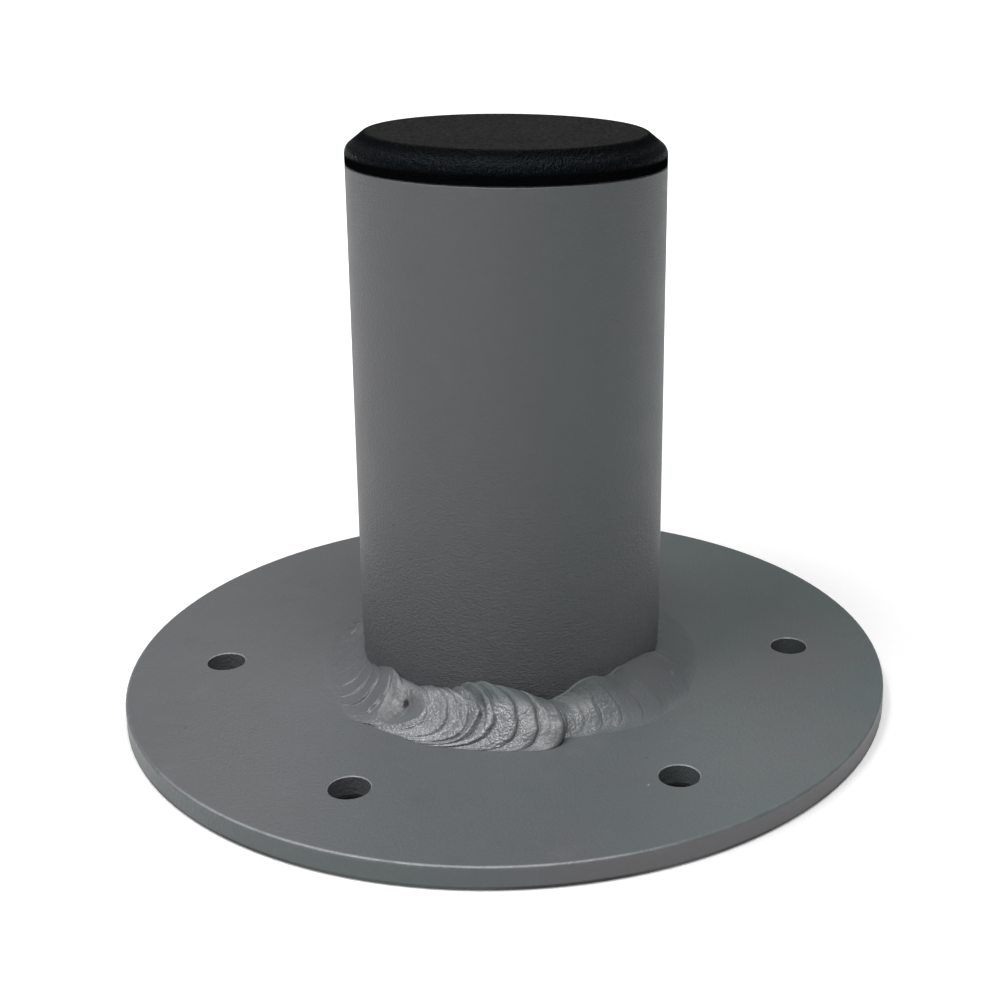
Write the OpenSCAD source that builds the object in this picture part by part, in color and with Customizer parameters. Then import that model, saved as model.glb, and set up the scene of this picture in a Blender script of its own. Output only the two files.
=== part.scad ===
// Deck mount: a round bolt-down plate with a short upright tube welded to its centre.
// The weld is a hand-laid fillet of overlapping ripples, and a ribbed plug closes the tube.
// Millimetres, +Z up, origin at the centre of the plate's underside.

/* [Base plate] */
// Diameter of the plate
plate_d = 152.4; // [140:0.1:220]
// Thickness of the plate
plate_t = 4.5; // [3:0.5:12]
// Radius on the plate's upper edge
plate_edge_r = 0.6; // [0.2:0.1:1.2]
// Chamfer on the plate's lower edge
plate_under_chamfer = 0.4; // [0.2:0.1:1]
// Diameter of the circle that the bolt holes sit on
bolt_circle_d = 116; // [108:1:124]
// Number of bolt holes
bolt_count = 6; // [3:1:8]
// Diameter of each bolt hole
bolt_hole_d = 7.5; // [5:0.5:12]
// Broken edge at both mouths of a bolt hole
hole_chamfer = 0.2; // [0.1:0.05:0.8]

/* [Post tube] */
// Outside diameter of the tube
tube_d = 60.3; // [50:0.1:66]
// Wall of the tube
tube_wall = 3.9; // [2:0.1:5]
// Length of the tube above the plate
tube_h = 102; // [60:0.5:250]
// Broken edge at the tube's sawn end
tube_chamfer = 0.4; // [0.1:0.1:0.8]
// How much the heat of welding has drawn the tube's foot in, on the radius
foot_draw = 0.4; // [0.35:0.05:0.8]

/* [Weld bead] */
// How far the weld reaches out over the plate, on average
weld_foot = 9.4; // [7:0.2:12]
// How far the weld climbs up the tube where it stands tall
weld_rise = 7.6; // [6:0.2:10]
// Roundness of the front run above a flat slope
weld_crown = 0.9; // [0:0.1:1.6]
// Distance between ripples along the runs at the side and the back
ripple_pitch = 4.3; // [3:0.1:8]
// Height of the step between one ripple and the next
ripple_step = 0.6; // [0.1:0.05:0.8]
// How far a ripple's ends run ahead of its middle, as an angle round the tube
ripple_bow = 9; // [4:0.5:12]
// How much the edges of the weld wave in and out
edge_wave = 0.3; // [0:0.05:0.6]
// Where the front run of weld starts, as an angle round the tube
front_start = 285; // [270:1:300]
// Where the front run ends, in its crater
crater_at = 234; // [225:1:245]
// Width of the end crater
crater_d = 10; // [7:0.5:12]
// Depth of the end crater
crater_depth = 0.9; // [0.3:0.1:1.4]
// Swelling where the front run was struck
start_swell = 0.7; // [0:0.1:1.2]

/* [End cap] */
// Height of the cap's head above the tube
cap_head_h = 5.7; // [4:0.1:9]
// Height of the upright rim under the rounded shoulder
cap_rim_h = 1.7; // [1:0.1:2.5]
// Diameter of the flat top
cap_flat_d = 53; // [40:0.5:54]
// Radius between the rim and the shoulder
cap_shoulder_r = 2.2; // [1:0.1:2.4]
// Thickness of the moulding
cap_wall = 2.2; // [1.5:0.1:3]
// Length of the stem inside the tube
stem_h = 20; // [14:0.5:40]
// Gap between the stem and the tube's bore
stem_gap = 2.6; // [1.5:0.1:3.5]
// Number of flexible fins round the stem
fin_count = 4; // [2:1:5]
// Thickness of each fin
fin_t = 1.1; // [0.8:0.1:1.4]
// Distance between fins
fin_pitch = 3.8; // [3:0.1:4]
// Upward sweep of a fin from its root to its tip
fin_sweep = 0.7; // [0:0.1:1.2]
// Clearance between a fin's tip and the tube's bore
fin_clear = 0.1; // [0.05:0.05:0.3]

/* [Hidden] */

tube_r = tube_d / 2;
bore_r = tube_r - tube_wall;
seat_z = plate_t + tube_h;
plate_r = plate_d / 2;

// Height above the plate where the weld has ended and the tube's wall runs true
tallest_toe = 1.16;
tallest_ripple = 2;
widest_wave = 0.75;
true_h = weld_rise * tallest_toe + widest_wave * edge_wave + 0.3 * (tallest_ripple * ripple_step + start_swell);

// Smoothness of turned surfaces
turn_fn = 180;
hole_fn = 64;
// Steps in a rounded corner
corner_steps = 6;
// How far a cutter runs past the face that it cuts
past = 1;

function lerp(a, b, k) = a + (b - a) * k;
function smooth(k) = let(c = min(max(k, 0), 1)) c * c * (3 - 2 * c);

// Points of an arc, from one angle to another
function arc(centre, r, from, to, steps = corner_steps) = [
  for (i = [0 : steps])
    let(a = lerp(from, to, i / steps))
    centre + r * [cos(a), sin(a)]
];

// Base plate: a turned disc with a softened upper edge and six plain bolt holes

module plate_disc() {
  rotate_extrude($fn = turn_fn)
    polygon(concat(
      [
        [0, 0],
        [plate_r - plate_under_chamfer, 0],
        [plate_r, plate_under_chamfer]
      ],
      arc([plate_r - plate_edge_r, plate_t - plate_edge_r], plate_edge_r, 0, 90),
      [[0, plate_t]]
    ));
}

module bolt_hole() {
  hole_r = bolt_hole_d / 2;
  mouth_r = hole_r + hole_chamfer;
  translate([0, 0, -past])
    cylinder(r = hole_r, h = plate_t + 2 * past, $fn = hole_fn);
  translate([0, 0, plate_t - hole_chamfer])
    cylinder(r1 = hole_r, r2 = mouth_r + past, h = hole_chamfer + past, $fn = hole_fn);
  translate([0, 0, -past])
    cylinder(r1 = mouth_r + past, r2 = hole_r, h = hole_chamfer + past, $fn = hole_fn);
}

module base_plate() {
  color("#7d8184")
    difference() {
      plate_disc();
      for (i = [0 : bolt_count - 1])
        rotate(i * 360 / bolt_count)
          translate([bolt_circle_d / 2, 0, 0])
            bolt_hole();
    }
}

// Post tube: stands square on the plate, with its bore open down to the plate's face.
// Under the weld the wall tapers in slightly, and above it the wall is a true cylinder.

module post_tube() {
  color("#6f7375")
    translate([0, 0, plate_t])
      rotate_extrude($fn = turn_fn)
        polygon([
          [bore_r, 0],
          [tube_r - foot_draw, 0],
          [tube_r, true_h],
          [tube_r, tube_h - tube_chamfer],
          [tube_r - tube_chamfer, tube_h],
          [bore_r + tube_chamfer, tube_h],
          [bore_r, tube_h - tube_chamfer]
        ]);
}

// Weld bead: laid clockwise as seen from above, in a front run that ends in its crater and a
// softer run round the back and up the side. Each ripple is a crescent that laps over the one
// before it, so the bead is swept one crescent at a time.

// Radius at the middle of the bead's face, where its lengths are measured
weld_mid_r = tube_r + weld_foot / 2;
// Half of the arc that a crescent covers across the bead
bow_half = 75;
// Rows of points across the bead
weld_rows = 12;
// Gap that keeps the bead's faceted back off the round tube
fusion_gap = 0.01;
// Radius of the tube's corner with the plate, where the bead's back starts
root_r = tube_r - foot_draw + fusion_gap;

function span_angle(length) = length / weld_mid_r * 180 / PI;

crater_span = span_angle(crater_d);
crater_start = crater_at + crater_span / 2;
crater_end = crater_at - crater_span / 2;

// Angle travelled clockwise since the front run was struck
function travel(a) = front_start - a;

// Rims of the front run: how far along it each lies, and its height in ripple steps
front_rims = [
  [0, 0.6], [0.18, 0.9], [0.33, 1.4], [0.49, 1], [0.55, 0.5], [0.6, 2], [0.69, 1.3], [0.84, 1.2], [1, 0.9]
];

// Hand movement along the whole bead: [travel, share of the foot, share of the rise]
toe_shape = [
  [0, 0.73, 0.66], [5.6, 0.77, 0.7], [6.8, 1.05, 0.72], [13, 1.04, 0.95], [27, 1.01, tallest_toe],
  [36, 1, 0.98], [41, 1.03, 0.85], [51, 0.97, 0.75], [62, 0.95, 0.82], [67, 1.04, 0.94],
  [81, 0.93, 0.6], [92, 0.9, 0.5], [130, 0.9, 0.75], [200, 0.95, 0.85], [260, 0.88, 0.7],
  [298, 0.88, 0.5], [319, 1.02, 0.94], [332, 1.04, 1], [339, 1.03, 0.9], [346, 0.94, 1.03],
  [352, 0.82, 0.92], [360, 0.73, 0.66]
];

function toe_share(place, column) =
  lookup(place > 360 ? place - 360 : place, [for (t = toe_shape) [t[0], t[column]]]);

// How soft the bead is: 0 on the front run, 1 round the back and up most of the side
function softness(a) =
  smooth((crater_at + 8 - a) / 18) * (1 - smooth((travel(a) - 346) / 14));

// A repeatable unevenness between -1 and 1 for each ripple
function uneven(k, kind) = let(v = sin(k * 127.1 + kind * 311.7) * 43.7585) 2 * (v - floor(v)) - 1;

// Shape of one ripple along the bead: a quick rise at its rim, then a long fall
front_profile = [[0, 0], [0.1, 0.88], [0.16, 1], [0.36, 0.84], [0.62, 0.5], [0.86, 0.16]];
soft_profile = [[0, 0], [0.14, 1], [0.34, 0.62], [0.6, 0.28], [0.84, 0.08]];

// Columns of one ripple: [angle, ripple height, wave of the edges]
function ripple_columns(from, to, height, wave, profile) = [
  for (p = profile)
    [lerp(from, to, p[0]), ripple_step * height * p[1], wave * (sin(180 * p[0]) - 0.5)]
];

function front_columns() = [
  for (k = [0 : len(front_rims) - 2])
    each ripple_columns(
      lerp(front_start, crater_start, front_rims[k][0]),
      lerp(front_start, crater_start, front_rims[k + 1][0]),
      front_rims[k][1],
      0.5 * edge_wave,
      front_profile
    )
];

// The crater is one wide ripple with evenly spaced columns behind its crisp rim
crater_steps = 11;
function crater_columns() = [
  for (i = [0 : crater_steps - 1])
    let(
      k = i / crater_steps,
      height = front_rims[len(front_rims) - 1][1] * smooth(i * 0.7) * (1 - smooth(k * 3))
    )
    [lerp(crater_start, crater_end, k), ripple_step * height, 0]
];

soft_end = front_start - 360;
soft_count = round((crater_end - soft_end) / span_angle(ripple_pitch));

function soft_rim(k) =
  let(shift = (k == 0 || k == soft_count) ? 0 : 0.2 * uneven(k, 3))
  lerp(crater_end, soft_end, (k + shift) / soft_count);

function soft_columns() = [
  for (k = [0 : soft_count - 1])
    let(fade = smooth((travel(soft_rim(k)) - 270) / 40))
    each ripple_columns(
      soft_rim(k),
      soft_rim(k + 1),
      lerp(0.65 + 0.2 * uneven(k, 5), 0.25, fade),
      edge_wave * (1 + 0.5 * uneven(k, 9)),
      soft_profile
    )
];

bead_columns = concat(front_columns(), crater_columns(), soft_columns());

// Swelling at the struck end of the front run, gone by a third of the run
function swell(a) =
  let(along = travel(a) / travel(crater_start) * 3)
  along < 0 || along > 1 ? 0 : start_swell * (1 - smooth(along)) * smooth(along * 14);

// Dish of the end crater, in radii from its centre along and across the bead
function dish(a, across) =
  let(
    along = (a - crater_at) / crater_span * 2,
    reach = sqrt(along * along + across * across * 1.3)
  )
  -crater_depth * (1 - smooth(reach));

// Share of the rise at each place up the face; soft stretches run out flat on the plate
function climb(k, soft) =
  let(bend = 0.03 + 0.3 * soft)
  (sqrt(k * k + bend * bend) - bend) / (sqrt(1 + bend * bend) - bend);

// A point on the bead's face; across runs from -1 at the plate to 1 at the tube
function bead_point(column, across) =
  let(
    a = column[0],
    toe = travel(a) + ripple_bow * (1 - cos(bow_half)),
    foot = weld_foot * toe_share(toe, 1) + column[2],
    rise = weld_rise * toe_share(toe, 2) + column[2],
    soft = softness(a),
    k = (across + 1) / 2,
    slope = sqrt(foot * foot + rise * rise),
    hump = 1 - across * across,
    crown = hump * weld_crown * (1 - 0.8 * soft),
    lift = crown + sqrt(hump) * (column[1] + swell(a)) + dish(a, across) * hump,
    toe_r = root_r + foot_draw * rise / true_h,
    r = lerp(tube_r + foot, toe_r, k) + lift * rise / slope,
    z = plate_t + rise * climb(k, soft) + lift * foot / slope,
    bowed = a - ripple_bow * (1 - cos(asin(across * sin(bow_half))))
  )
  [r * cos(bowed), r * sin(bowed), z];

function bead_corner(column) =
  let(a = column[0] - ripple_bow * (1 - cos(bow_half)))
  [root_r * cos(a), root_r * sin(a), plate_t];

function bead_section(column) = concat(
  [
    for (i = [0 : weld_rows])
      bead_point(column, sin(lerp(-bow_half, bow_half, i / weld_rows)) / sin(bow_half))
  ],
  [bead_corner(column)]
);

module weld_bead() {
  ring = weld_rows + 2;
  count = len(bead_columns);
  points = [for (c = bead_columns) each bead_section(c)];
  faces = [
    for (i = [0 : count - 1])
      for (j = [0 : ring - 1])
        let(
          next = (i + 1) % count,
          above = (j + 1) % ring,
          a = i * ring + j,
          b = i * ring + above,
          c = next * ring + above,
          d = next * ring + j
        )
        each [[a, c, b], [a, d, c]]
  ];
  color("#a3a6a8")
    polyhedron(points = points, faces = faces, convexity = 6);
}

// End cap: a moulded plug. Its head sits flush on the tube and its fins grip the bore.

cap_flat_r = cap_flat_d / 2;
stem_r = bore_r - stem_gap;
fin_r = bore_r - fin_clear;
// Lead-in chamfer at the stem's lower end
stem_lead = 0.8;
// Height of the lowest fin's root above the stem's lower end
first_fin = 3;
// Rounding where the shoulder meets the flat top
crown_r = 1.5;

// The shoulder's straight slope leaves the rim's rounding and meets the flat top
function slope_miss(a) =
  let(
    run = tube_r - cap_shoulder_r * (1 - cos(a)) - cap_flat_r,
    climb = cap_head_h - cap_rim_h - cap_shoulder_r * sin(a)
  )
  climb - run * tan(90 - a);

// Halving search for the angle at which that slope just reaches the flat's edge
function shoulder_angle(low = 20, high = 88, turns = 24) =
  turns == 0 ? (low + high) / 2 :
  let(mid = (low + high) / 2)
  slope_miss(mid) < 0 ? shoulder_angle(mid, high, turns - 1) : shoulder_angle(low, mid, turns - 1);

module cap_head() {
  turn = shoulder_angle();
  tangent = crown_r * tan((90 - turn) / 2);
  rotate_extrude($fn = turn_fn)
    polygon(concat(
      [[0, 0], [tube_r, 0]],
      arc([tube_r - cap_shoulder_r, cap_rim_h], cap_shoulder_r, 0, turn),
      arc([cap_flat_r - tangent, cap_head_h - crown_r], crown_r, turn, 90),
      [[0, cap_head_h]]
    ));
}

module fin(z) {
  translate([0, 0, z])
    rotate_extrude($fn = turn_fn)
      polygon([
        [stem_r - cap_wall / 2, 0],
        [stem_r, 0],
        [fin_r, fin_sweep],
        [fin_r, fin_sweep + fin_t * 0.7],
        [stem_r, fin_t],
        [stem_r - cap_wall / 2, fin_t]
      ]);
}

module cap_stem() {
  translate([0, 0, -stem_h])
    rotate_extrude($fn = turn_fn)
      polygon([
        [0, 0],
        [stem_r - stem_lead, 0],
        [stem_r, stem_lead],
        [stem_r, stem_h],
        [0, stem_h]
      ]);
}

module cap_hollow() {
  translate([0, 0, -stem_h - past])
    cylinder(r = stem_r - cap_wall, h = stem_h + past + cap_head_h - cap_wall, $fn = turn_fn);
}

module end_cap() {
  color("#2c2e2f")
    translate([0, 0, seat_z])
      difference() {
        union() {
          cap_head();
          cap_stem();
          for (i = [0 : fin_count - 1])
            fin(-stem_h + first_fin + i * fin_pitch);
        }
        cap_hollow();
      }
}

base_plate();
post_tube();
weld_bead();
end_cap();
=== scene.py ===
# Deck mount: a welded round base with a capped post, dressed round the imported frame
import math
import random
import bmesh
import bpy
from mathutils import Matrix, Vector


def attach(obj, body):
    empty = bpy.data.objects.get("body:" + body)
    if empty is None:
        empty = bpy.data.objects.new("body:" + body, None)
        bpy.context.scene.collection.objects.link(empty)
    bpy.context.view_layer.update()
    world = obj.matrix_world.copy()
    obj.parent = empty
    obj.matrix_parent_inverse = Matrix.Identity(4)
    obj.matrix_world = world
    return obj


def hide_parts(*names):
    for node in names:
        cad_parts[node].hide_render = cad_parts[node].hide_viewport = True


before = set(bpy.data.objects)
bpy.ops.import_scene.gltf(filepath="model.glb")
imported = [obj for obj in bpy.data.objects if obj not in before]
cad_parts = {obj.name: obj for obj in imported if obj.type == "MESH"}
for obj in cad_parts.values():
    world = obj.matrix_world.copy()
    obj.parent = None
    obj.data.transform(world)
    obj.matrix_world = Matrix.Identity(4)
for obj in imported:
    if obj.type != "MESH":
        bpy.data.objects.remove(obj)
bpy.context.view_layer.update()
mm = 0.001  # sizes below are in millimetres, Blender works in metres
degree = math.pi/180.0
print("frame loaded")


# node building

class Wire:
    # one output of a node, which takes plain arithmetic
    def __init__(self, bench, socket):
        self.bench = bench
        self.socket = socket

    def maths(self, operation, *values):
        return self.bench.node("ShaderNodeMath", {"operation": operation}, dict(enumerate(values)))

    def __add__(self, other):
        return self.maths("ADD", self, other)

    def __radd__(self, other):
        return self.maths("ADD", other, self)

    def __sub__(self, other):
        return self.maths("SUBTRACT", self, other)

    def __rsub__(self, other):
        return self.maths("SUBTRACT", other, self)

    def __mul__(self, other):
        return self.maths("MULTIPLY", self, other)

    def __rmul__(self, other):
        return self.maths("MULTIPLY", other, self)

    def __truediv__(self, other):
        return self.maths("DIVIDE", self, other)

    def __rtruediv__(self, other):
        return self.maths("DIVIDE", other, self)

    def __pow__(self, other):
        return self.maths("POWER", self, other)

    def __rpow__(self, other):
        return self.maths("POWER", other, self)

    def __mod__(self, other):
        return self.maths("MODULO", self, other)

    def __rmod__(self, other):
        return self.maths("MODULO", other, self)

    def __lt__(self, other):
        return self.maths("LESS_THAN", self, other)

    def __gt__(self, other):
        return self.maths("GREATER_THAN", self, other)

    def __neg__(self):
        return self.maths("MULTIPLY", self, -1.0)

    def __abs__(self):
        return self.maths("ABSOLUTE", self)

    def top(self, other):
        return self.maths("MAXIMUM", self, other)

    def least(self, other):
        return self.maths("MINIMUM", self, other)

    def sine(self):
        return self.maths("SINE", self)

    def cosine(self):
        return self.maths("COSINE", self)

    def ease(self, low, high):
        # 0 below low, 1 above high, smooth between; low may be the larger
        return self.bench.node("ShaderNodeMapRange", {"interpolation_type": "SMOOTHSTEP"},
                               {"Value": self, "From Min": low, "From Max": high})


class Bench:
    # one node tree, and the method that fills it
    def __init__(self, tree):
        self.tree = tree

    def node(self, kind, settings=None, sockets=None, out=0):
        made = self.tree.nodes.new(kind)
        for name, value in (settings or {}).items():
            if name == "curve":
                curve = made.mapping.curves[0]
                while len(curve.points) < len(value):
                    curve.points.new(0.5, 0.5)
                for point, place in zip(curve.points, value):
                    point.location = place
                made.mapping.update()
            else:
                setattr(made, name, value)
        for name, value in (sockets or {}).items():
            if isinstance(value, Wire):
                self.tree.links.new(value.socket, made.inputs[name])
            else:
                made.inputs[name].default_value = value
        return Wire(self, made.outputs[out]) if len(made.outputs) else None

    def blend(self, share, first, second):
        # colours by share: 0 gives the first, 1 the second
        return self.node("ShaderNodeMix", {"data_type": "RGBA"},
                         {0: share, 6: first, 7: second}, out=2)

    def mixShaders(self, share, first, second):
        return self.node("ShaderNodeMixShader", {}, {0: share, 1: first, 2: second})

    def noise(self, place, scale, detail=2.0, roughness=0.5, seed=None, out=0):
        settings = {"noise_dimensions": "3D" if seed is None else "4D"}
        sockets = {"Vector": place, "Scale": scale, "Detail": detail, "Roughness": roughness}
        if seed is not None:
            sockets["W"] = seed
        return self.node("ShaderNodeTexNoise", settings, sockets, out)

    def curve(self, share, points):
        return self.node("ShaderNodeFloatCurve", {"curve": points}, {"Value": share})

    def split(self, vector):
        parts = self.node("ShaderNodeSeparateXYZ", {}, {0: vector}).socket.node.outputs
        return [Wire(self, part) for part in parts]

    def join(self, x, y, z):
        return self.node("ShaderNodeCombineXYZ", {}, {0: x, 1: y, 2: z})


def tint(colour, factor=1.0):
    return tuple(factor*c for c in colour) + (1.0,)


def plain(level):
    return (level, level, level, 1.0)


def newMaterial(name):
    made = bpy.data.materials.new(name)
    made.use_nodes = True
    made.node_tree.nodes.clear()
    return made, Bench(made.node_tree)


# powder coat: one satin grey finish, tuned for each welded part

coat = {
    "grey": (0.128, 0.133, 0.139),
    "green": (0.111, 0.134, 0.134),  # tint that drifts in towards one side
    "plum": (0.131, 0.127, 0.134),   # tint of warmer patches
    "dark": (0.018, 0.018, 0.02),
    "driftShare": 0.9,
    "plumBand": (0.45, 0.75),        # where in the noise the patches start and are full
    "plumShare": 0.5,
    "lightBand": (0.55, 0.8),
    "darkBand": (0.45, 0.2),
    "mottleLight": 1.10,
    "mottleDark": 0.90,
    "mottleShare": 0.6,
    "speckSize": (0.04, 0.02),
    "speckPatch": (0.62, 0.66),
    "speckShare": 0.8,
    "roughness": 0.43,
    "mottleRough": 0.16,
    "patchRough": 0.08,
    "shine": 0.5,
    "bumpStrength": 0.55,
    "bumpDepth": 0.00012,            # metres, as Blender's bump takes it
    # how fine each pattern is: a larger scale is finer
    "patchScale": 26.0,
    "mottleScale": 140.0,
    "speckScale": 95.0,
    "speckPatchScale": 41.0,
    "ruffleScale": 900.0,
    "peelScale": 1550.0,
    "broadScale": 330.0,
    "broadHeight": 0.5,
    "lowPeel": 0.32,                 # more orange peel low down, between these heights in metres
    "lowFrom": 0.05,
    "lowTo": 0.02,
    "ruffle": 1.6,                   # how far noise bends the outline of a mark
    "markEdge": 0.4,                 # share of a mark's radius that keeps its full tone
    # small marks: place, radius, tone, strength; most are specks in the coat, but on the weld the
    # broad dark one in the crater's dish is painted shade and the two pale ones are painted
    # highlights
    "marks": [
        ((-61.1, -27.2, 4.5), 0.6, 0.07, 0.45),
        ((23.8, -43.8, 4.5), 0.3, 0.02, 0.9),
        ((23.1, -53.1, 4.5), 0.25, 0.4, 0.6),
        ((-21.9, -20.7, 41.5), 0.35, 0.03, 0.7),
        ((-11.6, -27.8, 13.5), 0.4, 0.05, 0.6),
        ((10.2, -28.4, 103.2), 0.3, 0.05, 0.5),
        # painted shade: the middle of the crater's dish darker
        ((-20.8, -26.1, 7.4), 4.0, 0.075, 0.55),
        ((-20.7, -26.1, 7.4), 1.35, 0.01, 0.95),
        ((-21.5, -25.7, 7.5), 0.6, 0.02, 0.7),
        ((-19.6, -26.6, 6.7), 0.4, 0.03, 0.6),
        # painted highlight: a glint left of the pit
        ((-22.5, -25.4, 7.7), 0.8, 0.36, 0.45),
        # painted highlight: a glint near the right end of the bead
        ((31.6, -15.7, 6.9), 0.7, 0.3, 0.35),
    ],
}

plateFinish = {
    "name": "powderCoatPlate",
    "tone": 1.03,
    "drift": (9.0, 0.5),         # the tint's change along x, and its share at x = 0
    "peel": 1.7,
    "peelStretch": 1.0,
    "smoothRight": 0.4,          # how much flatter the peel is on the right
    "smoothBand": (0.0, 0.05),   # between these, in metres along x
    "radius": 76.2,
    "top": 4.5,
    # bands along the edge: where each starts and is full, in from the rim or down from the top;
    # the sheen, brink and line bands are painted highlights, the foot is painted shade
    "chafeIn": (0.9, 0.3),
    "chafeDown": (1.0, 0.4),
    "brinkDown": (0.3, 0.18),
    "brinkEnd": (0.005, 0.03),   # and fades out again before the flat top
    "edgeIn": (0.55, 0.4),
    "edgeDown": (0.2, 0.6),
    "lineDown": (0.28, 0.2),
    "footUp": (1.0, 0.7),        # up from the floor
    # how much lighter than the coat each band is, and its share
    "chafeLight": 1.7,
    "chafeShare": 0.3,
    "chafeGloss": 0.08,
    "brinkLight": 2.4,
    "brinkShare": 0.8,
    "lineLight": 3.0,
    "lineShare": 0.5,
    "lineFront": (-0.03, -0.06), # metres along y, and along x below
    "lineLeft": (0.035, 0.0),
    "edgeLeft": 0.98,
    "edgeRight": 1.04,
    "edgeTurn": (-0.02, 0.02),   # metres along x
    "edgeShare": 0.8,
    "footShare": 0.95,
    "chafeScale": 210.0,
    "footScale": 28.0,
}

tubeFinish = {
    "name": "powderCoatTube",
    # the same coat as the plate's, set darker: painted shade on the upright tube
    "tone": 0.91,
    "drift": (26.0, 0.25),
    "peel": 2.75,
    "peelStretch": 1.9,          # the peel runs flatter than it is wide
    "smoothRight": 0.0,
    "smoothBand": (0.0, 0.05),
    # painted light on the tube's foot, on the right: how much lighter, its share, and where along
    # x it comes in
    "footLight": 1.22,
    "footShare": 0.8,
    "footBand": (0.006, 0.024),  # metres along x
}

weldFinish = {
    "name": "powderCoatWeld",
    "tone": 1.04,
    "drift": (9.0, 0.5),
    "peel": 1.3,
    "peelStretch": 1.0,
    "smoothRight": 0.4,
    "smoothBand": (0.0, 0.05),
    # the rough skin of the metal: grain, crackle and fine grain
    "grainScale": 1250.0,
    "grainHeight": 4.4,
    "crackleScale": 900.0,
    "crackleHeight": 1.5,
    "fineScale": 2500.0,
    "fineHeight": 3.2,
    # painted highlight: how much paler the rough skin is; painted light: how much lighter it gets
    # where the attribute passes 1
    "paleLight": 1.9,
    "paleShare": 0.85,
    "brightLight": 3.6,
    "gloss": 0.19,
    "shine": 1.0,
    # the dull tops of the pools, darkened as painted shade from the tube
    "dullDark": 0.72,
    "dullShare": 0.7,
    "dullRoughness": 0.55,
    "dullShine": 0.3,
}


# specks in the coat, and on the weld a patch of painted shade and two painted highlights
def addMarks(bench, place, colour):
    # each mark's outline is ruffled by noise
    ruffle = bench.node("ShaderNodeVectorMath", {"operation": "SUBTRACT"}, {
        0: bench.noise(place, coat["ruffleScale"], 2.0, 0.6, out=1), 1: (0.5, 0.5, 0.5)})
    ruffled = bench.node("ShaderNodeVectorMath", {"operation": "MULTIPLY_ADD"}, {
        0: ruffle, 1: [coat["ruffle"]*mm]*3, 2: place})
    for spot, reach, tone, strength in coat["marks"]:
        apart = bench.node("ShaderNodeVectorMath", {"operation": "DISTANCE"}, {
            0: ruffled, 1: [c*mm for c in spot]}, out=1)
        inside = apart.ease(reach*mm, reach*coat["markEdge"]*mm)
        colour = bench.blend(inside*strength, colour, plain(tone))
    return colour


def addSpecks(bench, place, colour):
    cells = bench.node("ShaderNodeTexVoronoi", {"feature": "F1"}, {
        "Vector": place, "Scale": coat["speckScale"]})
    rare = bench.noise(place, coat["speckPatchScale"], 0.0)
    speck = cells.ease(*coat["speckSize"])*rare.ease(*coat["speckPatch"])
    return bench.blend(speck*coat["speckShare"], colour, tint(coat["dark"]))


def addPlateEdge(bench, place, axes, colour, rough, tones):
    x, y, z = axes
    shade, cool, warm = tones
    away = (x*x + y*y)**0.5

    def inward(start, full):
        return away.ease((plateFinish["radius"] - start)*mm, (plateFinish["radius"] - full)*mm)

    def down(start, full):
        return z.ease((plateFinish["top"] - start)*mm, (plateFinish["top"] - full)*mm)

    # painted highlight, in patches, along the rounded upper edge, which is also a little glossier
    rim = inward(*plateFinish["chafeIn"])*down(*plateFinish["chafeDown"])
    sheenPatches = bench.noise(place, plateFinish["chafeScale"], 3.0, 0.6).ease(0.3, 0.7)
    colour = bench.blend(rim*sheenPatches*plateFinish["chafeShare"], colour,
                         tint(shade, plateFinish["chafeLight"]))
    # painted highlight round the brink of each hole, on its chamfer
    brink = down(*plateFinish["brinkDown"])*down(*plateFinish["brinkEnd"])
    colour = bench.blend(brink*(1.0 - rim)*plateFinish["brinkShare"], colour,
                         tint(shade, plateFinish["brinkLight"]))
    # painted highlight: a fine bright line along the rounded upper edge, on the front left
    edge = inward(*plateFinish["edgeIn"])
    line = edge*down(*plateFinish["lineDown"])
    line = line*y.ease(*plateFinish["lineFront"])*x.ease(*plateFinish["lineLeft"])
    line = line*(0.6 + sheenPatches.ease(0.0, 0.3)*0.4)
    colour = bench.blend(line*plateFinish["lineShare"], colour,
                         tint(shade, plateFinish["lineLight"]))
    # the edge itself runs from greenish on the left to a warm grey on the right
    edgeTint = bench.blend(x.ease(*plateFinish["edgeTurn"]),
                           tint(cool, plateFinish["edgeLeft"]),
                           tint(warm, plateFinish["edgeRight"]))
    band = edge*(1.0 - line)*down(*plateFinish["edgeDown"])
    colour = bench.blend(band*plateFinish["edgeShare"], colour, edgeTint)
    # painted shade: a dark line at the foot of the edge and low in each hole, where they meet the
    # floor
    foot = z.ease(*[height*mm for height in plateFinish["footUp"]])
    foot = foot*(0.5 + bench.noise(place, plateFinish["footScale"], 1.0).ease(0.4, 0.55)*0.5)
    colour = bench.blend(foot*plateFinish["footShare"], colour, tint(coat["dark"]))
    return colour, rough - rim*plateFinish["chafeGloss"]


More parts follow.
